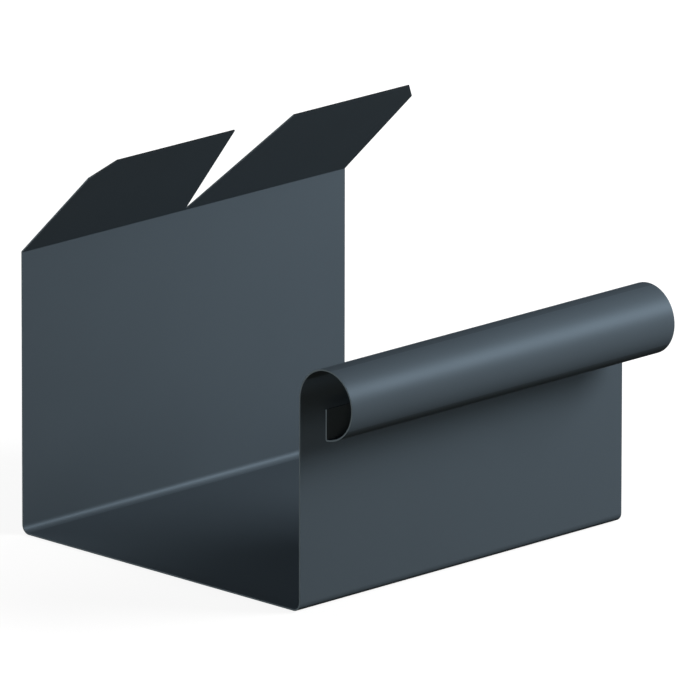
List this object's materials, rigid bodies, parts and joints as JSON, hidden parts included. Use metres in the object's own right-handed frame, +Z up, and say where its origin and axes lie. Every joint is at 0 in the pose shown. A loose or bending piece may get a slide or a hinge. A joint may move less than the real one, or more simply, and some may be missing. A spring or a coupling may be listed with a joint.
{
  "type": "gutter connector",
  "caption": "Folded sheet sleeve that joins two lengths of box gutter: open channel, two flaps on the back wall and a rolled bead with an inner lip along the front.",
  "frame": {"origin": "middle of the floor's underside, midway between the two ends and the two walls", "axes": "+X along the gutters, -Y to the front with the bead, +Z up; the sheet is the same each side of X = 0"},
  "size_m": [0.14, 0.1435, 0.1246],
  "materials": {
    "painted_sheet": "satin anthracite coil coating"
  },
  "bodies": {
    "root": {"connector_sheet": "painted_sheet"}
  },
  "joints": []
}
